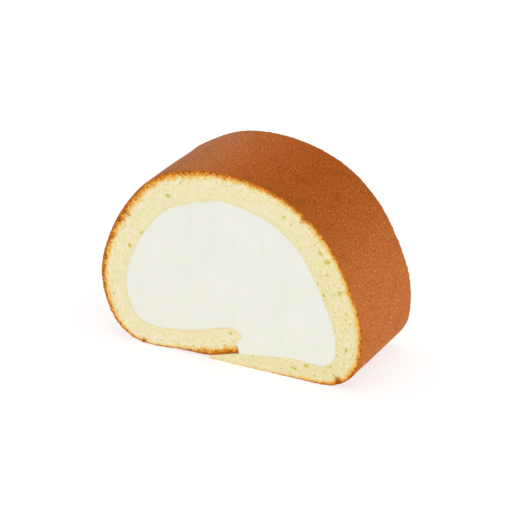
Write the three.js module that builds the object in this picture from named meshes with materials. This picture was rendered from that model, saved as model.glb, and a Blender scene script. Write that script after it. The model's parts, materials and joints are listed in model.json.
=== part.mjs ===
// A slice of Swiss roll: one sheet of sponge wound once round a thick core of
// whipped cream, set down on its join and cut straight across.
// Millimetres, +Z up. X runs across the slice and Y along the roll, so the cut
// faces look along Y. The slice stands on z = 0, centred over the origin.
import * as THREE from 'three';

// ---- Driving dimensions ---------------------------------------------------

const SLICE_THICKNESS = 37.6; // along the roll, from cut face to cut face
const CLEARANCE = 0.3; // between the sheet and the cream, and within the lap
const STATION_SPACING = 1.8; // about how far apart the sheet's stations are

// The sheet of sponge as it is wound: from the thin tip that lies under the
// join, round the right side, over the top and down the left side, to the end
// that lies on the tip. Each stretch of the skin is straight, with a length, or
// an arc, with a radius and the degrees it turns (anticlockwise seen from the
// front). Each also gives the thickness of the sheet where it ends. The left
// side has no radius of its own: it takes the one that brings the sheet back
// down to the floor.
const TIP_EDGE = 1.2; // thickness of the tip's blunt edge
const SHEET = [
  { stretch: 'tip', length: 11, thickness: 4.4 },
  { stretch: 'under flap', length: 19, thickness: 7.2 },
  { stretch: 'right base', length: 10.5, thickness: 6.8 },
  { stretch: 'right corner', radius: 14, turn: 80, thickness: 8.9 },
  { stretch: 'right side', radius: 38, turn: 30, thickness: 11 },
  { stretch: 'right rise', radius: 90, turn: 9, thickness: 11.3 },
  { stretch: 'right haunch', radius: 43, turn: 43, thickness: 10.3 },
  { stretch: 'crown', radius: 56, turn: 18, thickness: 9.7 },
  { stretch: 'left brow', radius: 56, turn: 18, thickness: 11.4 },
  { stretch: 'left shoulder', radius: 30, turn: 30, thickness: 10.8 },
  { stretch: 'left flank', radius: 62, turn: 27, thickness: 9.8 },
  { stretch: 'left side', turn: 43, thickness: 8.9 },
  { stretch: 'left corner', radius: 16, turn: 62, thickness: 7.9 },
  { stretch: 'left base', length: 2, thickness: 7.6 },
  { stretch: 'lift', radius: 35, turn: 9, thickness: 7.2 },
  { stretch: 'settle', radius: 35, turn: -9, thickness: 7.4 },
  { stretch: 'sag', length: 5, thickness: 8.8 },
  { stretch: 'climb', radius: 25, turn: 18, thickness: 9.5 },
  { stretch: 'lap', length: 8, thickness: 9.2 },
];
const THICKNESS_SOFTENING = 2; // how often each thickness blends with its neighbours

// The end of the sheet that lies on the join. Its crust stops square, and the
// crumb above bulges past it as a blunt nose. Each point gives how far it
// reaches beyond the skin's last point, and its depth under the skin.
const FLAP_END = [
  { reach: 0, depth: 0 },
  { reach: 0.3, depth: 1.5 },
  { reach: 0.3, depth: 3 },
  { reach: 0.6, depth: 4.1 },
  { reach: 2.4, depth: 4.4 },
  { reach: 3.6, depth: 5.7 },
  { reach: 1.9, depth: 7.8 },
  { reach: 0.3, depth: 9 },
];
const FLAP_END_STEPS = 18;
const CRUST_POINTS = 4; // of those points, the ones from the skin up to the nose

// ---- The sheet's path -----------------------------------------------------

// How far an arc of radius 1 rises, from the heading at its start and its turn.
function riseOfUnitArc(heading, turn) {
  return Math.cos(heading) - Math.cos(heading + turn);
}

// The left side's radius: all the arcs up to the floor again have to rise and
// sink by as much, and every straight before them lies flat.
function leftSideRadius() {
  let heading = 0;
  let rise = 0;
  let riseOfLeftSide = 0;
  for (const { stretch, radius, turn = 0 } of SHEET) {
    if (stretch === 'left base') break;
    const unitRise = riseOfUnitArc(heading, THREE.MathUtils.degToRad(turn));
    if (stretch === 'left side') riseOfLeftSide = unitRise;
    else if (radius) rise += radius * unitRise;
    heading += THREE.MathUtils.degToRad(turn);
  }
  return -rise / riseOfLeftSide;
}

// Walks along the skin in short chords, and notes at each station its distance
// along the sheet, its place, the sheet's direction and its thickness.
function walkSheet() {
  const stations = [];
  const place = new THREE.Vector2(0, 0);
  let heading = 0;
  let along = 0;
  let thickness = TIP_EDGE;
  const sideRadius = leftSideRadius();
  const note = () => stations.push({ along, place: place.clone(), heading, thickness });
  note();
  for (const { length, radius = sideRadius, turn = 0, thickness: endThickness } of SHEET) {
    const wholeTurn = THREE.MathUtils.degToRad(turn);
    const arcLength = length ?? radius * Math.abs(wholeTurn);
    const steps = Math.max(2, Math.round(arcLength / STATION_SPACING));
    const stepTurn = wholeTurn / steps;
    const chord = length ? length / steps : 2 * radius * Math.sin(Math.abs(stepTurn) / 2);
    const thickening = (endThickness - thickness) / steps;
    for (let step = 0; step < steps; step++) {
      place.x += Math.cos(heading + stepTurn / 2) * chord;
      place.y += Math.sin(heading + stepTurn / 2) * chord;
      heading += stepTurn;
      along += arcLength / steps;
      thickness += thickening;
      note();
    }
  }
  return stations;
}

// Blends each station's thickness with its neighbours', but for the two ends.
function softenThickness(stations) {
  const before = stations.map(({ thickness }) => thickness);
  for (let i = 1; i < stations.length - 1; i++) {
    stations[i].thickness = (before[i - 1] + 2 * before[i] + before[i + 1]) / 4;
  }
}

// The point at a depth under the skin at a station, or past it by a reach.
function pointInSheet({ place, heading }, depth, reach = 0) {
  const forward = new THREE.Vector2(Math.cos(heading), Math.sin(heading));
  const inward = new THREE.Vector2(-forward.y, forward.x);
  return place.clone().addScaledVector(forward, reach).addScaledVector(inward, depth);
}

// Moves each point of an open line to the right of its direction of travel.
function shiftRight(line, distance) {
  return line.map((point, i) => {
    const behind = line[Math.max(i - 1, 0)];
    const ahead = line[Math.min(i + 1, line.length - 1)];
    const travel = ahead.clone().sub(behind).setLength(distance);
    return new THREE.Vector2(point.x + travel.y, point.y - travel.x);
  });
}

const stations = walkSheet();
for (let round = 0; round < THICKNESS_SOFTENING; round++) softenThickness(stations);

const last = stations.at(-1);
const isNearTip = ({ along }) => along < last.along / 2;
const flapEnd = new THREE.SplineCurve(
  FLAP_END.map(({ reach, depth }) => pointInSheet(last, depth, reach)),
).getPoints(FLAP_END_STEPS);

// ---- The two outlines on the cut face -------------------------------------

// The sheet lies on its own tip, which is thinner there by the clearance. The
// nose takes the place of the last station's inner point.
const isInLap = (station) => isNearTip(station) && station.place.x < last.place.x;
const spongeOutline = [
  ...stations.map(({ place }) => place),
  ...flapEnd.slice(1),
  ...stations
    .slice(0, -1)
    .reverse()
    .map((station) => pointInSheet(station, station.thickness - (isInLap(station) ? CLEARANCE : 0))),
];

// The cream fills all that the sheet goes round, and runs down the flap's end
// to the sheet's tip.
const crustReach = Math.max(...FLAP_END.slice(0, CRUST_POINTS - 1).map(({ reach }) => reach));
const creamCorner = last.place.x + crustReach + CLEARANCE;
const creamOutline = [
  ...stations
    .slice(0, -1)
    .filter((station) => !isNearTip(station) || station.place.x > creamCorner)
    .map((station) => pointInSheet(station, station.thickness + CLEARANCE)),
  ...shiftRight(flapEnd, CLEARANCE).reverse(),
];

// ---- The two pieces -------------------------------------------------------

const box = new THREE.Box2().setFromPoints(spongeOutline);
const middle = (box.min.x + box.max.x) / 2;

// Carries an outline through the slice, from the front cut to the back one.
function cutPiece(name, outline, material) {
  const shape = new THREE.Shape(outline.map(({ x, y }) => new THREE.Vector2(x - middle, y)));
  const geometry = new THREE.ExtrudeGeometry(shape, { depth: SLICE_THICKNESS, bevelEnabled: false });
  geometry.rotateX(Math.PI / 2);
  geometry.translate(0, SLICE_THICKNESS / 2, 0);
  const piece = new THREE.Mesh(geometry, material);
  piece.name = name;
  return piece;
}

const sponge = new THREE.MeshStandardMaterial({ color: 0xf0e2a7, roughness: 0.9, metalness: 0 });
const whippedCream = new THREE.MeshStandardMaterial({ color: 0xf3f3ec, roughness: 0.5, metalness: 0 });

const slice = new THREE.Group();
slice.add(cutPiece('sponge', spongeOutline, sponge));
slice.add(cutPiece('cream', creamOutline, whippedCream));

export default slice;
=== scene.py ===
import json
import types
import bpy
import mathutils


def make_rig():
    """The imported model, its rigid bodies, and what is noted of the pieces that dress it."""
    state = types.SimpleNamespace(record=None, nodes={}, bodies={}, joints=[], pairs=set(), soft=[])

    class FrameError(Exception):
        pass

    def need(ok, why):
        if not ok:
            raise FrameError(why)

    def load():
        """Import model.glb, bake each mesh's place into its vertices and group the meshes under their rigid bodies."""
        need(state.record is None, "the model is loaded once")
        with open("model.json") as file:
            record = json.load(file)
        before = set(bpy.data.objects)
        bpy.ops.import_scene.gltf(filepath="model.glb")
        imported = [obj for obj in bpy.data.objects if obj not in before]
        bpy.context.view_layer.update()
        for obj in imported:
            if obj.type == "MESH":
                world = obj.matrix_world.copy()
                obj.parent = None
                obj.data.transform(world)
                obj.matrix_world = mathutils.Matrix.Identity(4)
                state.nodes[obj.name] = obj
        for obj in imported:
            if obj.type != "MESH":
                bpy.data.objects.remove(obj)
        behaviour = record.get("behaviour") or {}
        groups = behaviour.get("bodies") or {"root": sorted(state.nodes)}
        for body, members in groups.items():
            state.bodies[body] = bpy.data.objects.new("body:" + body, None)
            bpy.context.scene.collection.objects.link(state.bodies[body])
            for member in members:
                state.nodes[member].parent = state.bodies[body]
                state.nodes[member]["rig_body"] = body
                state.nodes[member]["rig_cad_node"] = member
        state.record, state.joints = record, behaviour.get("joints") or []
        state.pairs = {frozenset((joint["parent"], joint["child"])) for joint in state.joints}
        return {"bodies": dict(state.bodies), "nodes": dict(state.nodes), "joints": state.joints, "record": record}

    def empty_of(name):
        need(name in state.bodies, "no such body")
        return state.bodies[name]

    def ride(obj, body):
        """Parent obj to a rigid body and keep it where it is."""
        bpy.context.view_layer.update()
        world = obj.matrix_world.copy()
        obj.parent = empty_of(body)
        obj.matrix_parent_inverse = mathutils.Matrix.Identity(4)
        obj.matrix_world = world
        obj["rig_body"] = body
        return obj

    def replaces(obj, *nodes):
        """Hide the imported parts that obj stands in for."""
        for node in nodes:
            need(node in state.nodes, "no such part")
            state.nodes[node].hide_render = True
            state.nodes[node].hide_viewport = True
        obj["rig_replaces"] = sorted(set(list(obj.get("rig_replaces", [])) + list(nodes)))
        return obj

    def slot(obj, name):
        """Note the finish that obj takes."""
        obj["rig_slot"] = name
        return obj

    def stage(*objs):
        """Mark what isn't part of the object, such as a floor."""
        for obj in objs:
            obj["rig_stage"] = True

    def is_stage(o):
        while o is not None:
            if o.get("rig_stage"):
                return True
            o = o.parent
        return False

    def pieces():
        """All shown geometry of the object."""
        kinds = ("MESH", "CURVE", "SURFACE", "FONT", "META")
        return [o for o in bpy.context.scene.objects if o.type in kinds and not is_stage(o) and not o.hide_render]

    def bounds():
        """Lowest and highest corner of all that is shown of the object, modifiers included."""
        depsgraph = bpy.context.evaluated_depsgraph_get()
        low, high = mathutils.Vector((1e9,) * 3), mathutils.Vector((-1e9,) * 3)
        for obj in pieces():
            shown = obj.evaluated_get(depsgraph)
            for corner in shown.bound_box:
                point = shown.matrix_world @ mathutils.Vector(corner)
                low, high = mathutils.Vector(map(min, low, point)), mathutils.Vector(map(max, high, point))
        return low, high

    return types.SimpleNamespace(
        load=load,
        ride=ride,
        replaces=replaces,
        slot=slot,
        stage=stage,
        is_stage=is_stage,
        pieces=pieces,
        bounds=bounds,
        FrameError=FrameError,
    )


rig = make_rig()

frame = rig.load()

import json
import math
import random

import bmesh
import bpy
from mathutils import Vector
from mathutils.kdtree import KDTree

cad_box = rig.bounds()

# ---- Camera ---------------------------------------------------------------
# It looks down on the slice from the front and a little from the right, from
# far enough off that the slice keeps nearly parallel edges.

MM = 0.001  # metres
QUARTER_TURN = math.radians(90)
CAMERA_TURN = math.radians(27.25)  # round from straight in front, towards the right
CAMERA_RISE = math.radians(25.2)
CAMERA_DISTANCE = 981 * MM
CAMERA_AIM = Vector((11.2, -18.8, 39.6)) * MM  # on the front cut face
LENS_MM = 213.3
SENSOR_MM = 36
NEAREST_SEEN = 10 * MM

towards_camera = Vector((
    math.sin(CAMERA_TURN) * math.cos(CAMERA_RISE),
    -math.cos(CAMERA_TURN) * math.cos(CAMERA_RISE),
    math.sin(CAMERA_RISE),
))
bpy.ops.object.camera_add(
    location=CAMERA_AIM + towards_camera * CAMERA_DISTANCE,
    rotation=(QUARTER_TURN - CAMERA_RISE, 0, CAMERA_TURN),
)
camera = bpy.context.object
camera.name = "camera"
camera.data.lens = LENS_MM
camera.data.sensor_width = SENSOR_MM
camera.data.clip_start = NEAREST_SEEN
bpy.context.scene.camera = camera

# ---- Floor and light ------------------------------------------------------
# A plain pale floor that glows white, like a light table, in a studio that is
# bright all round. One wide soft light hangs overhead, and a weaker one stands
# in front, to the right.

FLOOR_SIZE = 4.0  # metres
WHITE = (1, 1, 1, 1)
FLOOR_PAINT = (0.3, 0.3, 0.3, 1)
FLOOR_GLOW = 0.72
FLOOR_ROUGHNESS = 0.9
STUDIO_STRENGTH = 0.84
LIGHT_AIM = Vector((0, 0, 0.03))  # metres
SOFT_LIGHTS = (
    # name, place and size in metres, watts
    ("overhead_light", Vector((0.1, -0.15, 1.1)), 1.2, 1.6),
    ("front_light", Vector((0.55, -0.85, 0.6)), 0.8, 1.0),
)

bpy.ops.object.select_all(action="DESELECT")
bpy.ops.mesh.primitive_plane_add(size=FLOOR_SIZE)
floor = bpy.context.object
floor.name = "floor"
floor_paint = bpy.data.materials.new("white_floor")
floor_paint.use_nodes = True
floor_shader = floor_paint.node_tree.nodes["Principled BSDF"]
floor_shader.inputs["Base Color"].default_value = FLOOR_PAINT
floor_shader.inputs["Roughness"].default_value = FLOOR_ROUGHNESS
floor_shader.inputs["Emission Color"].default_value = WHITE
floor_shader.inputs["Emission Strength"].default_value = FLOOR_GLOW
floor.data.materials.append(floor_paint)
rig.stage(floor)

studio = bpy.data.worlds.new("studio")
studio.use_nodes = True
background = studio.node_tree.nodes["Background"]
background.inputs["Color"].default_value = WHITE
background.inputs["Strength"].default_value = STUDIO_STRENGTH
bpy.context.scene.world = studio

for name, place, size, watts in SOFT_LIGHTS:
    aim = (LIGHT_AIM - place).to_track_quat("-Z", "Y").to_euler()
    bpy.ops.object.light_add(type="AREA", location=place, rotation=aim)
    light = bpy.context.object
    light.name = name
    light.data.shape = "DISK"
    light.data.size = size
    light.data.energy = watts
bpy.context.scene.view_settings.view_transform = "Standard"

# ---- The sheet of sponge --------------------------------------------------
# A whisked sponge, baked as one flat sheet and rolled once round the cream.
# Its baked top is the brown skin outside. The sheet's thin tip lies under the
# join, and its other end lies on the tip and ends in a blunt nose.

SLICE_THICKNESS = 37.6 * MM  # along the roll, from cut face to cut face
STATION_SPACING = 1.6 * MM
FEWEST_STEPS = 2  # from station to station, in one stretch
ROWS = 8  # of faces through the sheet, from the skin to the cream
COLUMNS = 12  # of faces along the roll
TIP_EDGE = 1.2 * MM  # thickness of the tip's blunt edge
TOUCHING = MM / 100  # points closer than this count as on the same face
GRID_SIZE = 1.0  # metres, of the plain grid that becomes the tip's edge
SMOOTHING_LEVELS = 2

# Each stretch of the skin, from the tip on: its length in mm where it is
# straight, or its radius in mm and the degrees it turns; then the sheet's and
# its crust's thickness in mm at its end. The left side's radius is the one that
# brings the sheet back down to the floor.
SHEET = (
    # name, length, radius, turn, thickness, crust
    ("tip", 11, None, 0, 4.4, 0.1),
    ("under flap", 19, None, 0, 7.2, 0.7),
    ("right base", 10.5, None, 0, 6.8, 1.4),
    ("right corner", None, 14, 80, 8.9, 1.8),
    ("right side", None, 38, 30, 11, 1.8),
    ("right rise", None, 90, 9, 11.3, 1.6),
    ("right haunch", None, 43, 43, 10.3, 1.8),
    ("crown", None, 56, 18, 9.7, 2.0),
    ("left brow", None, 56, 18, 11.4, 2.4),
    ("left shoulder", None, 30, 30, 10.8, 2.4),
    ("left flank", None, 62, 27, 9.8, 2.2),
    ("left side", None, None, 43, 8.9, 1.9),
    ("left corner", None, 16, 62, 7.9, 0.8),
    ("left base", 2, None, 0, 7.6, 0.7),
    ("lift", None, 35, 9, 7.2, 0.8),
    ("settle", None, 35, -9, 7.4, 1.2),
    ("sag", 5, None, 0, 8.8, 1.8),
    ("climb", None, 25, 18, 9.5, 2.2),
    ("lap", 8, None, 0, 9.2, 2.5),
)
# The end on the join, row by row from the skin in: how far each row reaches
# past the last station, and how deep it lies under the skin, in mm.
FLAP_END = (
    (0, 0), (0.3, 1.2), (0.3, 2.4), (0.3, 3.4), (0.6, 4.1),
    (2.4, 4.4), (3.6, 5.7), (1.9, 7.8), (0.3, 9.0),
)


def along_sheet(heading):
    """The sheet's direction on the cut face, from its heading."""
    return Vector((math.cos(heading), 0, math.sin(heading)))


def into_sheet(heading):
    """The direction from the skin into the sheet on the cut face."""
    return Vector((-math.sin(heading), 0, math.cos(heading)))


def left_side_radius():
    """The radius in mm that brings the sheet back down to the height where it set out."""
    heading, rise, left_side_rise = 0.0, 0.0, 0.0
    for name, _, radius, turn, _, _ in SHEET:
        if name == "left base":
            return -rise / left_side_rise
        unit_rise = math.cos(heading) - math.cos(heading + math.radians(turn))
        if name == "left side":
            left_side_rise = unit_rise
        elif radius:
            rise += radius * unit_rise
        heading += math.radians(turn)


def walk_sheet(start):
    """Yields each station along the skin, with the step and turn that lead to it."""
    place, along, heading, thickness, crust = start.copy(), 0.0, 0.0, TIP_EDGE, 0.0
    for _, length, radius, turn, end_thickness, end_crust in SHEET:
        whole_turn = abs(math.radians(turn))
        radius = (radius or left_side_radius()) * MM
        arc = length * MM if length else radius * whole_turn
        steps = max(FEWEST_STEPS, round(arc / STATION_SPACING))
        step_turn = math.radians(turn) / steps
        chord = arc / steps if length else 2 * radius * math.sin(whole_turn / steps / 2)
        thickening = (end_thickness * MM - thickness) / steps
        browning = (end_crust * MM - crust) / steps
        for _ in range(steps):
            step = along_sheet(heading + step_turn / 2) * chord
            place = place + step
            along += arc / steps
            heading += step_turn
            growth = (thickness + thickening) / thickness
            thickness += thickening
            crust += browning
            yield {
                "step": step,
                "turn": step_turn,
                "growth": growth,
                "place": place,
                "along": along,
                "heading": heading,
                "thickness": thickness,
                "crust": crust,
            }


skin_x = [0.0] + [station["place"].x for station in walk_sheet(Vector())]
tip = Vector((-(min(skin_x) + max(skin_x)) / 2, 0, 0))  # centres the slice over the origin

bpy.ops.object.select_all(action="DESELECT")
bpy.ops.mesh.primitive_grid_add(
    x_subdivisions=ROWS, y_subdivisions=COLUMNS, size=GRID_SIZE,
    location=tip + Vector((0, 0, GRID_SIZE / 2)), rotation=(0, QUARTER_TURN, 0),
)
sponge = bpy.context.object
sponge.name = "sponge_sheet"
bpy.ops.object.transform_apply(location=True, rotation=True, scale=True)
bpy.ops.object.mode_set(mode="EDIT")
edge_size = (1, SLICE_THICKNESS / GRID_SIZE, TIP_EDGE / GRID_SIZE)
bpy.ops.transform.resize(value=edge_size, center_override=tip)

cage = bmesh.from_edit_mesh(sponge.data)
cage.verts.layers.float_vector.new("in_sheet")  # where a point lies in the flat sheet
cage.verts.layers.float_vector.new("outward")  # from the sheet out through the skin
cage.verts.layers.float.new("crust")  # how deep the browning goes there
cage.verts.layers.float.new("from_cream")  # how far the cream is


def note_section(along, place, heading, thickness, crust):
    """Writes where the selected section of the sheet lies on its vertices."""
    cage = bmesh.from_edit_mesh(sponge.data)
    in_sheet = cage.verts.layers.float_vector["in_sheet"]
    outward = cage.verts.layers.float_vector["outward"]
    crust_depth = cage.verts.layers.float["crust"]
    from_cream = cage.verts.layers.float["from_cream"]
    for vertex in cage.verts:
        if vertex.select:
            depth = (vertex.co - place).dot(into_sheet(heading))
            vertex[in_sheet] = (along, vertex.co.y, depth)
            vertex[outward] = -into_sheet(heading)
            vertex[crust_depth] = crust
            vertex[from_cream] = max(thickness - depth, 0)


note_section(0, tip, 0, TIP_EDGE, 0)
for station in walk_sheet(tip):
    bpy.ops.mesh.extrude_region_move(TRANSFORM_OT_translate={"value": station["step"]})
    place = station["place"]
    bpy.ops.transform.rotate(value=station["turn"], orient_axis="Y", center_override=place)
    growth = station["growth"]
    bpy.ops.transform.resize(value=(growth, 1, growth), center_override=place)
    note_section(
        station["along"], place, station["heading"], station["thickness"], station["crust"],
    )

# The last section's rows slide out to the shape of the flap's end, which the
# cream covers all the way down.
last = station
cage = bmesh.from_edit_mesh(sponge.data)
in_sheet = cage.verts.layers.float_vector["in_sheet"]
from_cream = cage.verts.layers.float["from_cream"]
for vertex in cage.verts:
    if vertex.select:
        row = round(vertex[in_sheet].z / last["thickness"] * ROWS)
        reach, depth = (value * MM for value in FLAP_END[row])
        end = last["place"] + along_sheet(last["heading"]) * reach
        end += into_sheet(last["heading"]) * depth
        vertex.co = Vector((end.x, vertex.co.y, end.z))
        vertex[in_sheet] = (last["along"] + reach, vertex.co.y, depth)
        vertex[from_cream] = 0
flap_end_x = last["place"].x

# The side against the cream isn't seen, so its long edges go, all but the two
# on the cut faces. The sheet's sharp edges are creased to stay sharp.
FACES_ALONG_ROLL = 0.7  # the least that a cut face's normal has along Y
crease = cage.edges.layers.float.new("crease_edge")


def face_side(face):
    """Names the side of the sheet that a face lies on."""
    if abs(face.normal.y) > FACES_ALONG_ROLL:
        return "cut"
    along = [vertex[in_sheet].x for vertex in face.verts]
    if max(along) == 0 or min(along) > last["along"] - TOUCHING:
        return "end"
    return "skin" if max(vertex[in_sheet].z for vertex in face.verts) < TIP_EDGE / 2 else "inside"


bmesh.ops.recalc_face_normals(cage, faces=cage.faces)
sides = {face: face_side(face) for face in cage.faces}
for edge in cage.edges:
    edge.select = False
for edge in cage.edges:
    touching = {sides[face] for face in edge.link_faces}
    if len(touching) > 1:
        edge[crease] = 1
    elif touching == {"inside"} and abs(edge.verts[0].co.y - edge.verts[1].co.y) < TOUCHING:
        edge.select = True
bmesh.update_edit_mesh(sponge.data)
bpy.ops.mesh.dissolve_edges(use_verts=True)
bpy.ops.object.mode_set(mode="OBJECT")

smoothing = sponge.modifiers.new("smoothing", "SUBSURF")
smoothing.levels = smoothing.render_levels = SMOOTHING_LEVELS
bpy.ops.object.modifier_apply(modifier="smoothing")

# Here and there the crust folds or tears into the crumb. Each fold has a place
# along the sheet, how much deeper the browning goes and a half width, in mm.
# Four show on the front cut; small ones are drawn at random on both cuts.
TORN_CORNER = (47.5, 1.2, 1.5)
CROWN_FOLD = (143, 0.4, 1.6)
FLANK_FOLD = (188, 0.6, 2.0)
BASE_FOLD = (244, 0.9, 1.2)
NAMED_FOLDS = [TORN_CORNER, CROWN_FOLD, FLANK_FOLD, BASE_FOLD]
SMALL_FOLDS = 12
SMALL_FOLD_DEPTHS = (0.2, 0.6)
SMALL_FOLD_HALF_WIDTHS = (0.8, 2.0)
FOLD_SEED = 5
FOLD_DRAW = random.Random(FOLD_SEED)


def small_folds():
    """Draws the small folds of one cut face."""
    return [
        (
            FOLD_DRAW.uniform(TORN_CORNER[0], last["along"] / MM),
            FOLD_DRAW.uniform(*SMALL_FOLD_DEPTHS),
            FOLD_DRAW.uniform(*SMALL_FOLD_HALF_WIDTHS),
        )
        for _ in range(SMALL_FOLDS)
    ]


front_folds = NAMED_FOLDS + small_folds()
back_folds = small_folds()
fold_values = sponge.data.attributes.new("fold", "FLOAT", "POINT").data  # how dark a fold is
crust_values = sponge.data.attributes["crust"].data
sheet_values = sponge.data.attributes["in_sheet"].data
for vertex in sponge.data.vertices:
    if abs(vertex.co.y) > SLICE_THICKNESS / 2 - TOUCHING:
        along = sheet_values[vertex.index].vector.x / MM
        for fold_along, deeper, half_width in front_folds if vertex.co.y < 0 else back_folds:
            nearness = math.exp(-(((along - fold_along) / half_width) ** 2))
            crust_values[vertex.index].value += deeper * MM * nearness
            fold_values[vertex.index].value += min(deeper, 1) * nearness

# The relief. The knife drags crumbs and opens bubbles on the cut faces, except
# beside the cream, and breaks their brown edge. The skin is gently uneven.
# Nothing is pushed below the floor.
TO_MM = 1 / MM
NOISE_MIDDLE = 0.5


def feed(tree, node, feeds):
    """Feeds a node's inputs with other nodes' outputs, or sets them."""
    for name, value in feeds.items():
        if isinstance(value, bpy.types.NodeSocket):
            tree.links.new(value, node.inputs[name])
        else:
            node.inputs[name].default_value = value


def add_node(tree, kind, feeds, **settings):
    """Adds a node with its settings and its feeds."""
    added = tree.nodes.new(kind)
    for name, value in settings.items():
        setattr(added, name, value)
    feed(tree, added, feeds)
    return added


def calculate(tree, operation, first, second=0.0):
    """The result of a Math node."""
    return add_node(tree, "ShaderNodeMath", {0: first, 1: second}, operation=operation).outputs[0]


def plus(tree, first, second):
    """The sum of two values."""
    return calculate(tree, "ADD", first, second)


def minus(tree, first, second):
    """One value less another."""
    return calculate(tree, "SUBTRACT", first, second)


def times(tree, first, second):
    """One value multiplied by another."""
    return calculate(tree, "MULTIPLY", first, second)


def distance_from(tree, middle, value):
    """How far a value lies from a middle one, on either side."""
    return calculate(tree, "ABSOLUTE", minus(tree, value, middle))


def calculate_vector(tree, operation, feeds, output=0):
    """The result of a Vector Math node."""
    return add_node(tree, "ShaderNodeVectorMath", feeds, operation=operation).outputs[output]


def stretch(tree, vector, shares):
    """A vector multiplied along each axis."""
    return calculate_vector(tree, "MULTIPLY", {0: vector, 1: shares})


def ramp(tree, value, start, end, low=0.0, high=1.0):
    """A soft step from low to high as the value goes from start to end."""
    feeds = {"Value": value, "From Min": start, "From Max": end, "To Min": low, "To Max": high}
    return add_node(tree, "ShaderNodeMapRange", feeds, interpolation_type="SMOOTHSTEP").outputs[0]


def between(tree, mask, low, high):
    """A value that goes from low to high as a mask goes from 0 to 1."""
    return ramp(tree, mask, 0, 1, low, high)


def noise(tree, place, size_mm, detail=2.0, roughness=0.5, output=0):
    """Soft noise from 0 to 1, with patches of about this size."""
    feeds = {"Vector": place, "Scale": 1 / size_mm, "Detail": detail, "Roughness": roughness}
    return add_node(tree, "ShaderNodeTexNoise", feeds).outputs[output]


def patches(tree, place, grain, mask):
    """A noise turned into patches by a mask."""
    return ramp(tree, noise(tree, place, *grain), *mask)


def uneven_noise(tree, place, grain, height):
    """Noise about zero, of about this height from its lowest to its highest."""
    return times(tree, minus(tree, noise(tree, place, *grain), NOISE_MIDDLE), height)


SMALLEST_BUBBLE = 0.55  # its radius, as a share of the largest one's
BUBBLE_FLOOR = 0.35  # the flat part of a bubble, as a share of its radius


def bubbles(tree, place, cell_mm, radius_mm, share):
    """Scattered holes, from 1 at their middle to 0 outside. Only a share of the cells hold one."""
    cells = add_node(tree, "ShaderNodeTexVoronoi", {"Vector": place, "Scale": 1 / cell_mm})
    draws = cells.outputs["Color"]
    draw = calculate_vector(tree, "DOT_PRODUCT", {0: draws, 1: (1, 0, 0)}, "Value")
    size = calculate_vector(tree, "DOT_PRODUCT", {0: draws, 1: (0, 1, 0)}, "Value")
    largest = radius_mm / cell_mm
    radius = between(tree, size, SMALLEST_BUBBLE * largest, largest)
    hole = ramp(tree, cells.outputs["Distance"], radius, times(tree, radius, BUBBLE_FLOOR))
    return times(tree, hole, calculate(tree, "LESS_THAN", draw, share))


def pushed_about(tree, place, patch_mm, furthest_mm):
    """A place pushed about by noise, so that what is drawn there is uneven."""
    colour = noise(tree, place, patch_mm, 1.0, output="Color")
    push = calculate_vector(tree, "SUBTRACT", {0: colour, 1: [NOISE_MIDDLE] * 3})
    feeds = {0: push, 1: [furthest_mm / NOISE_MIDDLE] * 3, 2: place}
    return calculate_vector(tree, "MULTIPLY_ADD", feeds)


# A grain is a noise's patch size in mm, its detail and its roughness. A mask
# is where a value starts and stops turning, and what it turns from and into,
# which is 0 and 1 if not said. A squeeze is what a place is multiplied by along
# each axis: less than 1 draws a pattern out.
FINE_GRAIN = (0.5, 2.0, 0.7)
RAGGED_GRAIN = (1.7, 2.0, 0.5)
RAGGED_MASK = (0.3, 0.7, 0.8, 1.2)  # shares of the crust's thickness
CRUMBS_GRAIN = (0.7, 3.0, 0.6)
CRUMBS_SQUEEZE = (0.5, 1, 1)
BUBBLE_SQUEEZE = (0.55, 1, 1)
BUBBLE_PUSH = (0.8, 0.55)  # patch size and the furthest push, in mm
BUBBLE_CELL = 2.1  # mm
BUBBLE_RADIUS = 0.85  # of the largest ones
BUBBLE_SHARES = (0.1, 0.34)  # of the cells, in close crumb and in open crumb
SMALL_BUBBLE_CELL = 0.95
SMALL_BUBBLE_RADIUS = 0.42
PITTED_MASK = (4.5, 0.2, 0.2, 0.62)  # shares of the cells, by mm past the crust
CLOSE_CRUMB_PITTING = 0.6  # as a share of that in open crumb
# The crumb is most open on the right side and in the corner below it.
OPEN_CRUMB_ALONG = 66  # its middle along the sheet, in mm
OPEN_CRUMB_REACH = 62
FULLY_OPEN_REACH = OPEN_CRUMB_REACH / 3


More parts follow.
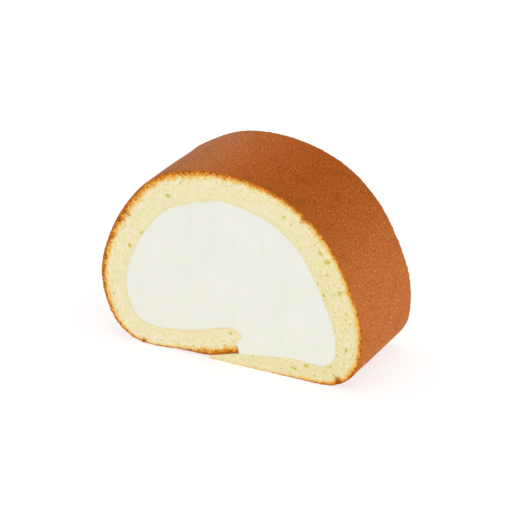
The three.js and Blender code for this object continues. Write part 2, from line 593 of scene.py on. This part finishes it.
def crumb_patterns(tree, in_sheet, crust, from_cream):
    """The patterns that both the relief and the colours of the sponge follow."""
    place = stretch(tree, in_sheet, [TO_MM] * 3)
    parts = add_node(tree, "ShaderNodeSeparateXYZ", {0: place}).outputs
    from_open = distance_from(tree, OPEN_CRUMB_ALONG, parts["X"])
    openness = ramp(tree, from_open, OPEN_CRUMB_REACH, FULLY_OPEN_REACH)
    pushed = pushed_about(tree, stretch(tree, place, BUBBLE_SQUEEZE), *BUBBLE_PUSH)
    ragged = patches(tree, place, RAGGED_GRAIN, RAGGED_MASK)
    crust_edge = times(tree, times(tree, crust, TO_MM), ragged)
    past_crust = minus(tree, parts["Z"], crust_edge)
    pitted = times(
        tree, ramp(tree, past_crust, *PITTED_MASK), between(tree, openness, CLOSE_CRUMB_PITTING, 1),
    )
    bubble_share = between(tree, openness, *BUBBLE_SHARES)
    return {
        "place": place,
        "along": parts["X"],
        "across": parts["Y"],
        "depth": parts["Z"],
        "openness": openness,
        "fine": noise(tree, place, *FINE_GRAIN),
        "crust edge": crust_edge,
        "past crust": past_crust,
        "cream gap": times(tree, from_cream, TO_MM),
        "pushed": pushed,
        "bubble share": bubble_share,
        "large bubbles": bubbles(tree, pushed, BUBBLE_CELL, BUBBLE_RADIUS, bubble_share),
        "small bubbles": bubbles(tree, pushed, SMALL_BUBBLE_CELL, SMALL_BUBBLE_RADIUS, pitted),
        "crumbs": noise(tree, stretch(tree, place, CRUMBS_SQUEEZE), *CRUMBS_GRAIN),
    }


def new_relief(name):
    """An empty relief, with its first and last nodes."""
    group = bpy.data.node_groups.new(name, "GeometryNodeTree")
    for way in ("INPUT", "OUTPUT"):
        group.interface.new_socket("Geometry", in_out=way, socket_type="NodeSocketGeometry")
    return group, group.nodes.new("NodeGroupInput"), group.nodes.new("NodeGroupOutput")


def read_attribute(tree, name, data_type):
    """A named attribute of the mesh, in a relief."""
    feeds = {"Name": name}
    return add_node(tree, "GeometryNodeInputNamedAttribute", feeds, data_type=data_type).outputs[0]


def into_slice(tree, position, depth_mm):
    """The move from either cut face straight into the slice, this deep."""
    across = add_node(tree, "ShaderNodeSeparateXYZ", {0: position}).outputs["Y"]
    inward = times(tree, calculate(tree, "SIGN", across), -MM)
    return add_node(tree, "ShaderNodeCombineXYZ", {"Y": times(tree, depth_mm, inward)}).outputs[0]


def apply_relief(piece, group, sharp_angle):
    """Shapes a piece by its relief for good, and shades it smooth up to an angle."""
    bpy.ops.object.select_all(action="DESELECT")
    piece.select_set(True)
    bpy.context.view_layer.objects.active = piece
    piece.modifiers.new("relief", "NODES").node_group = group
    bpy.ops.object.modifier_apply(modifier="relief")
    bpy.ops.object.shade_smooth_by_angle(angle=sharp_angle)


relief, relief_in, relief_out = new_relief("sponge_relief")
patterns = crumb_patterns(
    relief,
    read_attribute(relief, "in_sheet", "FLOAT_VECTOR"),
    read_attribute(relief, "crust", "FLOAT"),
    read_attribute(relief, "from_cream", "FLOAT"),
)
place = patterns["place"]
position = relief.nodes.new("GeometryNodeInputPosition").outputs[0]

# How deep the cut faces are opened, in mm.
CRUMB_DRAG = 0.16
LARGE_BUBBLE_DEPTH = 0.4
SMALL_BUBBLE_DEPTH = 0.12
CRUST_BREAKAGE = 0.3
CRUST_GRAIN = (0.8, 2.0, 0.5)
CRUST_MASK = (0.4, -0.4)  # mm past the crust's edge
EDGE_GRAIN = (1.6, 2.0, 0.5)
EDGE_MASK = (0.35, 0.65, 0, 0.25)  # up to how deep the edge to the skin breaks
EDGE_REACH_MASK = (0.8, 0.0)  # mm under the skin
CREAM_GAP_MASK = (0.05, 0.9)  # mm from the cream, which fills what is nearer
broken_crust = times(
    relief, times(relief, noise(relief, place, *CRUST_GRAIN), CRUST_BREAKAGE),
    ramp(relief, patterns["past crust"], *CRUST_MASK),
)
broken_edge = times(
    relief, patches(relief, place, EDGE_GRAIN, EDGE_MASK),
    ramp(relief, patterns["depth"], *EDGE_REACH_MASK),
)
opened = times(relief, patterns["crumbs"], CRUMB_DRAG)
for more in (
    times(relief, patterns["large bubbles"], LARGE_BUBBLE_DEPTH),
    times(relief, patterns["small bubbles"], SMALL_BUBBLE_DEPTH),
    broken_crust,
    broken_edge,
):
    opened = plus(relief, opened, more)
opened = times(relief, opened, ramp(relief, patterns["cream gap"], *CREAM_GAP_MASK))
across = add_node(relief, "ShaderNodeSeparateXYZ", {0: position}).outputs["Y"]
from_middle = calculate(relief, "ABSOLUTE", across)
on_cut = calculate(relief, "GREATER_THAN", from_middle, SLICE_THICKNESS / 2 - TOUCHING)
cut_offset = into_slice(relief, position, times(relief, opened, on_cut))

# How far the skin rises and sinks, in mm. At its back the left haunch is
# pressed in a little.
SKIN_SWELL = 0.3
SWELL_GRAIN = (14, 1.0, 0.5)
SKIN_WRINKLE = 0.1
WRINKLE_GRAIN = (1.9, 2.0, 0.5)
SKIN_REACH = 6  # how deep under the skin the sheet follows it
HOLLOW_DEPTH = 1.05
HOLLOW_ALONG = 168  # its place along the sheet
HOLLOW_HALF_WIDTH = 8.5
HOLLOW_REACH = 26  # how far it reaches in from the back cut
HALF_SLICE = SLICE_THICKNESS / 2 / MM  # from the middle to a cut face
swell = uneven_noise(relief, place, SWELL_GRAIN, SKIN_SWELL)
wrinkle = uneven_noise(relief, place, WRINKLE_GRAIN, SKIN_WRINKLE)
from_hollow = minus(relief, patterns["along"], HOLLOW_ALONG)
from_hollow = calculate(relief, "DIVIDE", from_hollow, HOLLOW_HALF_WIDTH)
squared = calculate(relief, "POWER", from_hollow, 2)
hollow = calculate(relief, "EXPONENT", times(relief, squared, -1))
hollow_depth = ramp(
    relief, patterns["across"], HALF_SLICE - HOLLOW_REACH, HALF_SLICE, 0, HOLLOW_DEPTH,
)
uneven = minus(relief, plus(relief, swell, wrinkle), times(relief, hollow, hollow_depth))
skin_shift = times(relief, uneven, ramp(relief, patterns["depth"], SKIN_REACH, 0, 0, MM))
outward = read_attribute(relief, "outward", "FLOAT_VECTOR")
skin_offset = calculate_vector(relief, "SCALE", {0: outward, "Scale": skin_shift})

FLOOR_LIMIT = (-1, -1, 0)  # metres; only the height is ever held
SPONGE_SHARP_ANGLE = math.radians(55)
offset = calculate_vector(relief, "ADD", {0: skin_offset, 1: cut_offset})
moved = calculate_vector(relief, "ADD", {0: position, 1: offset})
above_floor = calculate_vector(relief, "MAXIMUM", {0: moved, 1: FLOOR_LIMIT})
feeds = {"Geometry": relief_in.outputs[0], "Position": above_floor}
shaped = add_node(relief, "GeometryNodeSetPosition", feeds)
relief.links.new(shaped.outputs[0], relief_out.inputs[0])
apply_relief(sponge, relief, SPONGE_SHARP_ANGLE)


SCREEN_WHITE = 255


def screen_colour(red, green, blue):
    """A colour from its screen values, 0 to 255, as the shader takes it, by the sRGB curve."""
    def linear(value):
        value /= SCREEN_WHITE
        return value / 12.92 if value <= 0.04045 else ((value + 0.055) / 1.055) ** 2.4
    return (linear(red), linear(green), linear(blue), 1)


# A Mix node's sockets for colours go by number.
FIRST_COLOUR = 6
SECOND_COLOUR = 7
MIXED_COLOUR = 2


def mix_colour(tree, factor, first, second, blend="MIX"):
    """One colour turning into another, or multiplied by it, as the factor goes from 0 to 1."""
    feeds = {"Factor": factor, FIRST_COLOUR: first, SECOND_COLOUR: second}
    mixed = add_node(tree, "ShaderNodeMix", feeds, data_type="RGBA", blend_type=blend)
    return mixed.outputs[MIXED_COLOUR]


def layer_colours(tree, colour, layers, blend="MIX"):
    """A colour with more laid over it one by one, each as strongly as its mask says."""
    for mask, laid_over in layers:
        colour = mix_colour(tree, mask, colour, laid_over, blend)
    return colour


def mesh_attribute(tree, name, output):
    """A named attribute of the mesh, in a material."""
    return add_node(tree, "ShaderNodeAttribute", {}, attribute_name=name).outputs[output]


# The knife draws fine marks over the crumb and the cream alike.
STROKE_DETAIL = 3.0
STROKE_ROUGHNESS = 0.55
STROKE_MASK = (0.48, 0.7)
knife_marks = bpy.data.node_groups.new("knife_marks", "ShaderNodeTree")
for name, kind in (("Place", "Vector"), ("Stretch", "Vector"), ("Scale", "Float")):
    knife_marks.interface.new_socket(name, in_out="INPUT", socket_type="NodeSocket" + kind)
knife_marks.interface.new_socket("Marks", in_out="OUTPUT", socket_type="NodeSocketFloat")
given = knife_marks.nodes.new("NodeGroupInput").outputs
drawn_out = stretch(knife_marks, given["Place"], given["Stretch"])
feeds = {
    "Vector": drawn_out,
    "Scale": given["Scale"],
    "Detail": STROKE_DETAIL,
    "Roughness": STROKE_ROUGHNESS,
}
strokes = add_node(knife_marks, "ShaderNodeTexNoise", feeds).outputs[0]
add_node(knife_marks, "NodeGroupOutput", {"Marks": ramp(knife_marks, strokes, *STROKE_MASK)})


def marked_by_knife(tree, place, squeeze, size_mm):
    """The knife's marks in a material, from 0 to 1, this wide and drawn out by the squeeze."""
    feeds = {"Place": place, "Stretch": squeeze, "Scale": 1 / size_mm}
    return add_node(tree, "ShaderNodeGroup", feeds, node_tree=knife_marks).outputs["Marks"]


sponge_paint = bpy.data.materials.new("baked_sponge")
sponge_paint.use_nodes = True
tree = sponge_paint.node_tree
shader = tree.nodes["Principled BSDF"]
patterns = crumb_patterns(
    tree,
    mesh_attribute(tree, "in_sheet", "Vector"),
    mesh_attribute(tree, "crust", "Fac"),
    mesh_attribute(tree, "from_cream", "Fac"),
)
place, depth, along = patterns["place"], patterns["depth"], patterns["along"]
past_crust, openness = patterns["past crust"], patterns["openness"]

# The crumb is pale yellow, mottled pinkish and yellow-green, and moist by the
# cream. It is yellower under the slice and where it is open, and flecked
# there and by the crust. Its bubbles are olive, with a paler rim.
CRUMB = screen_colour(242, 231, 188)
PALE_CRUMB = screen_colour(248, 234, 205)
GREEN_CRUMB = screen_colour(234, 231, 160)
YELLOW_CRUMB = screen_colour(230, 216, 150)
MOIST_CRUMB = screen_colour(238, 227, 172)
BUBBLE_RIM = screen_colour(232, 230, 140)
BUBBLE = screen_colour(208, 198, 92)
CRUST_PITS = screen_colour(186, 168, 72)
PALE_GRAIN = (1.3, 3.0, 0.5)
PALE_SQUEEZE = (0.55, 1, 1)
PALE_MASK = (0.42, 0.6, 0, 0.8)
GREEN_GRAIN = (1.3, 3.0, 0.5)
GREEN_SQUEEZE = (0.5, 1.3, 1.3)
GREEN_MASK = (0.5, 0.64, 0, 0.45)
BASE_MASK = (62, 42, 0, 0.3)  # mm along the sheet
OPEN_YELLOWING = 0.3
MOIST_MASK = (3.4, 1.0, 0, 0.75)  # mm from the cream
MOIST_UNEVENNESS = 2.5  # mm
MARK_SQUEEZE = (0.25, 1, 1)
MARK_SIZE = 0.55  # mm
MARK_STRENGTH = 0.5
NEAR_CRUST_MASK = (3.5, 0.5)  # mm past the crust
LEAST_FLECKED = 0.5
FLECK_GRAIN = (0.5, 2.0, 0.65)
FLECK_SQUEEZE = (0.35, 1, 1)
YELLOW_FLECK_MASK = (0.47, 0.36)
PALE_FLECK_MASK = (0.56, 0.66)
BUBBLE_RIM_RADIUS = 1.25  # mm
BUBBLE_RIM_STRENGTH = 0.7
PIT_STRENGTHS = (0.45, 0.9)  # in close crumb, and in open crumb or by the crust
pale_place = stretch(tree, place, PALE_SQUEEZE)
green_place = stretch(tree, place, GREEN_SQUEEZE)
moist = plus(tree, patterns["cream gap"], times(tree, patterns["crumbs"], MOIST_UNEVENNESS))
marks = marked_by_knife(tree, place, MARK_SQUEEZE, MARK_SIZE)
near_crust = calculate(tree, "MAXIMUM", openness, ramp(tree, past_crust, *NEAR_CRUST_MASK))
flecked = between(tree, near_crust, LEAST_FLECKED, 1)
flecks = noise(tree, stretch(tree, place, FLECK_SQUEEZE), *FLECK_GRAIN)
rims = bubbles(tree, patterns["pushed"], BUBBLE_CELL, BUBBLE_RIM_RADIUS, patterns["bubble share"])
pits = times(tree, patterns["small bubbles"], between(tree, near_crust, *PIT_STRENGTHS))
crumb_colour = layer_colours(tree, CRUMB, (
    (patches(tree, pale_place, PALE_GRAIN, PALE_MASK), PALE_CRUMB),
    (patches(tree, green_place, GREEN_GRAIN, GREEN_MASK), GREEN_CRUMB),
    (ramp(tree, along, *BASE_MASK), YELLOW_CRUMB),
    (times(tree, openness, OPEN_YELLOWING), YELLOW_CRUMB),
    (ramp(tree, moist, *MOIST_MASK), MOIST_CRUMB),
    (times(tree, marks, MARK_STRENGTH), MOIST_CRUMB),
    (times(tree, ramp(tree, flecks, *YELLOW_FLECK_MASK), flecked), YELLOW_CRUMB),
    (times(tree, ramp(tree, flecks, *PALE_FLECK_MASK), flecked), PALE_CRUMB),
    (times(tree, rims, BUBBLE_RIM_STRENGTH), BUBBLE_RIM),
    (pits, CRUST_PITS),
    (patterns["large bubbles"], BUBBLE),
))

# The crust goes from brown outside to gold and pale inside, with scorched
# spots and darker folds, and its inner edge is mottled into the crumb.
BURNT_CRUST = screen_colour(140, 66, 6)
OUTER_CRUST = screen_colour(176, 92, 24)
GOLDEN_CRUST = screen_colour(222, 136, 36)
PALE_CRUST = screen_colour(244, 200, 108)
LEAST_CRUST = 0.01  # mm, since depths are divided by the crust's thickness
SHARE_SPECKLE = 2.6
GOLDEN_MASK = (0.0, 0.35)  # shares of the crust's thickness
PALE_CRUST_MASK = (0.4, 1.0)
SCORCH_GRAIN = (0.8, 2.0, 0.65)
SCORCH_MASK = (0.54, 0.6, 0, 0.75)
SCORCH_REACH_MASK = (0.9, 0.4)
FOLD_SPECKLE = 1.5
FOLD_MASK = (0.4, 0.9, 0, 0.65)
HALO_SPECKLE = 3.0  # mm
HALO_MASK = (0.6, 0.1, 0, 0.55)  # mm past the crust
BROWNED_SPECKLE = 4.2  # mm
BROWNED_MASK = (0.5, -0.6)
speckle = minus(tree, patterns["fine"], NOISE_MIDDLE)
crust_depth = plus(tree, patterns["crust edge"], LEAST_CRUST)
inner_share = calculate(tree, "DIVIDE", depth, crust_depth)
inner_share = plus(tree, inner_share, times(tree, speckle, SHARE_SPECKLE))
scorched = patches(tree, place, SCORCH_GRAIN, SCORCH_MASK)
scorched = times(tree, scorched, ramp(tree, inner_share, *SCORCH_REACH_MASK))
fold = plus(tree, mesh_attribute(tree, "fold", "Fac"), times(tree, speckle, FOLD_SPECKLE))
crust_colour = layer_colours(tree, OUTER_CRUST, (
    (ramp(tree, inner_share, *GOLDEN_MASK), GOLDEN_CRUST),
    (ramp(tree, inner_share, *PALE_CRUST_MASK), PALE_CRUST),
    (scorched, BURNT_CRUST),
    (ramp(tree, fold, *FOLD_MASK), BURNT_CRUST),
))
halo = minus(tree, past_crust, times(tree, speckle, HALO_SPECKLE))
browned = minus(tree, past_crust, times(tree, speckle, BROWNED_SPECKLE))
cut_colour = layer_colours(tree, crumb_colour, (
    (ramp(tree, halo, *HALO_MASK), PALE_CRUST),
    (ramp(tree, browned, *BROWNED_MASK), crust_colour),
))

# The skin is dry and brown like orange peel. It is brownest in the middle of
# the sheet and tan towards its ends. A paler, greyer band over the left haunch
# is painted sheen, and by the sheet's tip the browning thins out to bare crumb.
BROWN_SKIN = screen_colour(167, 84, 24)
TAN_SKIN = screen_colour(197, 113, 54)
# A paler, greyer brown for the painted sheen over the left haunch.
SHEEN_SKIN = screen_colour(168, 103, 63)
# The light dots are painted highlights, paler and greyer, on the peel's raised grain. The dark tint darkens the skin's
# own clouds, and gives the dots in the peel's hollows painted shade.
HIGHLIGHT_DOT_TINT = (1.55, 1.8, 2.5, 1)  # what light dots multiply the skin's colour by
DARK_TINT = (0.62, 0.52, 0.36, 1)
BROWNEST_ALONG = 122  # places along the sheet, in mm
TAN_FROM_BROWNEST = 52
# The middle of the painted sheen along the sheet, and how it fades, in mm from there.
SHEEN_ALONG = 168
SHEEN_MASK = (30, 0, 0, 0.85)  # mm from there
CLOUD_GRAIN = (6.0, 3.0, 0.6)
CLOUD_MASK = (0.5, 0.66, 0, 0.25)
PEEL_GRAIN = (0.8, 2.0, 0.7)
ROUGH_GRAIN = (4.0, 2.0, 0.5)
ROUGH_MASK = (0.38, 0.58, 0.4, 1)
ROUGH_FROM_CUT_MASK = (0.5, 4.0, 0.4, 1)  # mm from a cut face
# Painted highlights where the peel's grain stands highest, and painted shade where it lies lowest.
HIGHLIGHT_MASK = (0.53, 0.66)
SHADE_DOT_MASK = (0.47, 0.34)
DOT_STRENGTH = 0.95
BARE_GRAIN = (2.0, 3.0, 0.5)
BARE_UNEVENNESS = 1.2  # mm
BARE_MASK = (0.2, 0.45)  # mm of crust
SKIN_MASK = (0.16, 0.06)  # mm under the skin
tanned = ramp(tree, distance_from(tree, BROWNEST_ALONG, along), 0, TAN_FROM_BROWNEST)
# Painted sheen over the left haunch, paler and greyer.
painted_sheen = ramp(tree, distance_from(tree, SHEEN_ALONG, along), *SHEEN_MASK)
skin_colour = layer_colours(tree, BROWN_SKIN, ((tanned, TAN_SKIN), (painted_sheen, SHEEN_SKIN)))
peel = noise(tree, place, *PEEL_GRAIN)
from_cut = minus(tree, HALF_SLICE, calculate(tree, "ABSOLUTE", patterns["across"]))
roughest = times(
    tree, patches(tree, place, ROUGH_GRAIN, ROUGH_MASK), ramp(tree, from_cut, *ROUGH_FROM_CUT_MASK),
)
# Painted highlights on the peel's raised grain, and painted shade in its hollows, in its roughest patches.
painted_highlights = times(tree, ramp(tree, peel, *HIGHLIGHT_MASK), roughest)
painted_shade_dots = times(tree, ramp(tree, peel, *SHADE_DOT_MASK), roughest)
tints = (
    (patches(tree, place, CLOUD_GRAIN, CLOUD_MASK), DARK_TINT),
    (times(tree, painted_highlights, DOT_STRENGTH), HIGHLIGHT_DOT_TINT),
    (times(tree, painted_shade_dots, DOT_STRENGTH), DARK_TINT),
)
skin_colour = layer_colours(tree, skin_colour, tints, "MULTIPLY")
skin_crust = times(tree, mesh_attribute(tree, "crust", "Fac"), TO_MM)
skin_crust = plus(tree, skin_crust, uneven_noise(tree, place, BARE_GRAIN, BARE_UNEVENNESS))
on_skin = times(tree, ramp(tree, depth, *SKIN_MASK), ramp(tree, skin_crust, *BARE_MASK))

SPONGE_ROUGHNESSES = (0.9, 0.65)  # of the cut faces and of the skin
SPONGE_GLOSS = 0.03
SPONGE_SCATTER = 0.1
SPONGE_SCATTER_DEPTH = 1.0 * MM
SPONGE_SCATTER_TINT = (1, 0.7, 0.35)
PEEL_STRENGTH = 0.7
PEEL_HEIGHT = 0.3 * MM
peel_feeds = {"Height": peel, "Strength": PEEL_STRENGTH, "Distance": PEEL_HEIGHT}
feed(tree, shader, {
    "Base Color": mix_colour(tree, on_skin, cut_colour, skin_colour),
    "Roughness": between(tree, on_skin, *SPONGE_ROUGHNESSES),
    "Normal": add_node(tree, "ShaderNodeBump", peel_feeds).outputs[0],
    "Specular IOR Level": SPONGE_GLOSS,
    "Subsurface Weight": SPONGE_SCATTER,
    "Subsurface Scale": SPONGE_SCATTER_DEPTH,
    "Subsurface Radius": SPONGE_SCATTER_TINT,
})
sponge.data.materials.append(sponge_paint)

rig.ride(sponge, "root")
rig.replaces(sponge, "sponge")
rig.slot(sponge, "sponge")

# ---- The cream ------------------------------------------------------------
# Stiff whipped cream, spread on the sheet before it was rolled. It fills all
# that the sheet goes round, and the knife has smeared it flat at the cuts.

CREAM_GRID = 1.0 * MM
AGAINST_CREAM = MM / 1000  # the sheet touches the cream where its gap is smaller
PAST_FLAP_END = 0.5 * MM  # how far from the flap's end the cream meets the tip

bpy.ops.object.mode_set(mode="EDIT")
bpy.ops.mesh.select_mode(type="EDGE")
bpy.ops.mesh.select_all(action="DESELECT")
sheet = bmesh.from_edit_mesh(sponge.data)
in_sheet = sheet.verts.layers.float_vector["in_sheet"]
from_cream = sheet.verts.layers.float["from_cream"]


def touches_cream(vertex):
    """Whether a vertex of the sheet lies on the front edge of its inside, by the cream."""
    if vertex.co.y > -SLICE_THICKNESS / 2 + TOUCHING or vertex[from_cream] > AGAINST_CREAM:
        return False
    return vertex[in_sheet].x > last["along"] / 2 or vertex.co.x > flap_end_x + PAST_FLAP_END


for edge in sheet.edges:
    edge.select = touches_cream(edge.verts[0]) and touches_cream(edge.verts[1])
bmesh.update_edit_mesh(sponge.data)
bpy.ops.mesh.duplicate()
bpy.ops.mesh.separate(type="SELECTED")
bpy.ops.object.mode_set(mode="OBJECT")
cream = next(made for made in bpy.context.selected_objects if made != sponge)
cream.name = "whipped_cream"
cream.id_properties_clear()  # it was copied from the sponge, with what was said of the sponge
cream.data.materials.clear()
bpy.ops.object.select_all(action="DESELECT")
cream.select_set(True)
bpy.context.view_layer.objects.active = cream
bpy.ops.object.mode_set(mode="EDIT")
bpy.ops.mesh.select_all(action="SELECT")
bpy.ops.mesh.edge_face_add()
bpy.ops.mesh.extrude_region_move(TRANSFORM_OT_translate={"value": (0, SLICE_THICKNESS, 0)})
bpy.ops.mesh.select_all(action="SELECT")
bpy.ops.mesh.normals_make_consistent(inside=False)
rim = [vertex.co.copy() for vertex in bmesh.from_edit_mesh(cream.data).verts if vertex.co.y < 0]
low = Vector(map(min, zip(*rim)))
high = Vector(map(max, zip(*rim)))
for axis, normal in ((0, (1, 0, 0)), (2, (0, 0, 1))):
    cuts = math.floor((high[axis] - low[axis]) / CREAM_GRID)
    for cut in range(1, cuts + 1):
        at = [0, 0, 0]
        at[axis] = low[axis] + cut * CREAM_GRID
        bpy.ops.mesh.select_all(action="SELECT")
        bpy.ops.mesh.bisect(plane_co=at, plane_no=normal)
bpy.ops.object.mode_set(mode="OBJECT")

rim_tree = KDTree(len(rim))
for index, point in enumerate(rim):
    rim_tree.insert(point, index)
rim_tree.balance()
from_rim = cream.data.attributes.new("from_rim", "FLOAT", "POINT").data  # distance to the sponge
for vertex in cream.data.vertices:
    beside = Vector((vertex.co.x, -SLICE_THICKNESS / 2, vertex.co.z))
    from_rim[vertex.index].value = rim_tree.find(beside)[2]

# The knife drags it down in wide marks, up to 0.2 mm deep, but not at its rim.
DRAG_GRAIN = (4.5, 3.0, 0.5)
DRAG_SQUEEZE = (1, 1, 0.16)
DRAG_MASK = (0, 5, 0, 0.2)  # mm from the rim, and mm deep
CREAM_SHARP_ANGLE = math.radians(40)
cream_relief, relief_in, relief_out = new_relief("cream_relief")
position = cream_relief.nodes.new("GeometryNodeInputPosition").outputs[0]
place = stretch(cream_relief, position, [TO_MM] * 3)
drag_marks = noise(cream_relief, stretch(cream_relief, place, DRAG_SQUEEZE), *DRAG_GRAIN)
rim_gap = times(cream_relief, read_attribute(cream_relief, "from_rim", "FLOAT"), TO_MM)
opened = times(cream_relief, drag_marks, ramp(cream_relief, rim_gap, *DRAG_MASK))
feeds = {
    "Geometry": relief_in.outputs[0],
    "Offset": into_slice(cream_relief, position, opened),
}
shaped = add_node(cream_relief, "GeometryNodeSetPosition", feeds)
cream_relief.links.new(shaped.outputs[0], relief_out.inputs[0])
apply_relief(cream, cream_relief, CREAM_SHARP_ANGLE)

# Cool white, a little warmer in patches, and faintly streaked by the knife.
CREAM = screen_colour(237, 236, 226)
WARM_CREAM = screen_colour(239, 238, 228)
CREAM_SHADOW = screen_colour(234, 234, 223)
WARM_GRAIN = (14, 2.0, 0.5)
WARM_MASK = (0.35, 0.65)
STREAK_SQUEEZE = (1, 1, 0.2)
STREAK_SIZE = 4.0  # mm
STREAK_STRENGTH = 0.6
SMEAR_SQUEEZE = (1, 1, 0.3)
SMEAR_SIZE = 1.2  # mm
SMEAR_STRENGTH = 0.25
SMEAR_HEIGHT = 0.2 * MM
CREAM_ROUGHNESSES = (0.5, 0.6)  # between the streaks and in them
CREAM_GLOSS = 0.25
CREAM_SCATTER = 0.15
CREAM_SCATTER_DEPTH = 0.8 * MM
CREAM_SCATTER_TINT = (1, 0.9, 0.75)
cream_paint = bpy.data.materials.new("whipped_cream")
cream_paint.use_nodes = True
tree = cream_paint.node_tree
shader = tree.nodes["Principled BSDF"]
place = add_node(tree, "ShaderNodeTexCoord", {}).outputs["Object"]
place = stretch(tree, place, [TO_MM] * 3)
streaks = marked_by_knife(tree, place, STREAK_SQUEEZE, STREAK_SIZE)
smear = marked_by_knife(tree, place, SMEAR_SQUEEZE, SMEAR_SIZE)
smear_feeds = {"Height": smear, "Strength": SMEAR_STRENGTH, "Distance": SMEAR_HEIGHT}
feed(tree, shader, {
    "Base Color": layer_colours(tree, CREAM, (
        (patches(tree, place, WARM_GRAIN, WARM_MASK), WARM_CREAM),
        (times(tree, streaks, STREAK_STRENGTH), CREAM_SHADOW),
    )),
    "Roughness": between(tree, streaks, *CREAM_ROUGHNESSES),
    "Normal": add_node(tree, "ShaderNodeBump", smear_feeds).outputs[0],
    "Specular IOR Level": CREAM_GLOSS,
    "Subsurface Weight": CREAM_SCATTER,
    "Subsurface Scale": CREAM_SCATTER_DEPTH,
    "Subsurface Radius": CREAM_SCATTER_TINT,
})
cream.data.materials.append(cream_paint)

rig.ride(cream, "root")
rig.replaces(cream, "cream")
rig.slot(cream, "cream")

with open("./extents.json", "w") as sizes:
    json.dump(
        {"cad": [list(corner) for corner in cad_box], "visual": [list(corner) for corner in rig.bounds()]}, sizes,
    )
